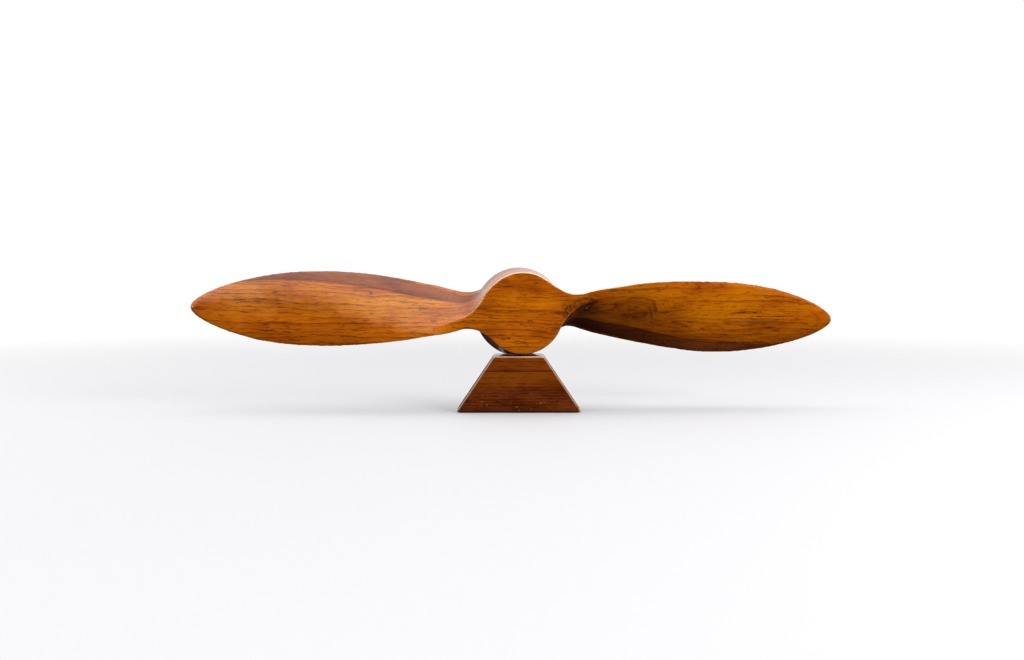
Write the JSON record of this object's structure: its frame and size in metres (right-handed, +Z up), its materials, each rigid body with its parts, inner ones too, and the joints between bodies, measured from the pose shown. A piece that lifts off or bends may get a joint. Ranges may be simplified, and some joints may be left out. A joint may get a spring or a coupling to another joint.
{
  "type": "display propeller on a stand",
  "caption": "Carved laminated timber propeller with twisted leaf-shaped blades and a solid round hub, screwed to a trapezoid timber stand on which it swivels.",
  "frame": {"origin": "centre of the stand's underside, on the surface it stands on", "axes": "+X along the stand's width and, within the small turn of the propeller, along the blades; -Y is the front, which the hub's front face looks towards; +Z up"},
  "size_m": [0.5967, 0.068, 0.1344],
  "materials": {
    "front_timber": "golden orange-brown open-grained timber under gloss lacquer",
    "middle_timber": "darker mauve-brown timber under gloss lacquer",
    "back_timber": "golden brown open-grained timber under gloss lacquer",
    "stand_dark_timber": "dark red-brown timber, satin lacquer, a few pale specks and scratches",
    "stand_golden_timber": "golden brown timber, satin lacquer",
    "stand_brown_timber": "mid brown timber, satin lacquer",
    "steel": "zinc-plated steel, slightly dulled",
    "felt": "black needle felt"
  },
  "bodies": {
    "stand": {"stand_bottom_board": "stand_dark_timber", "stand_middle_board": "stand_golden_timber", "stand_top_board": "stand_brown_timber", "felt_pad": "felt", "screw_washer": "steel"},
    "propeller": {"propeller_front_board": "front_timber", "propeller_middle_board": "middle_timber", "propeller_back_board": "back_timber", "stand_screw": "steel"}
  },
  "joints": [
    {"name": "propeller_swivel", "type": "hinge", "parent": "stand", "child": "propeller", "pos_m": [0.0019, 0, 0.0524], "axis": [0, 0, 1], "continuous": true}
  ]
}
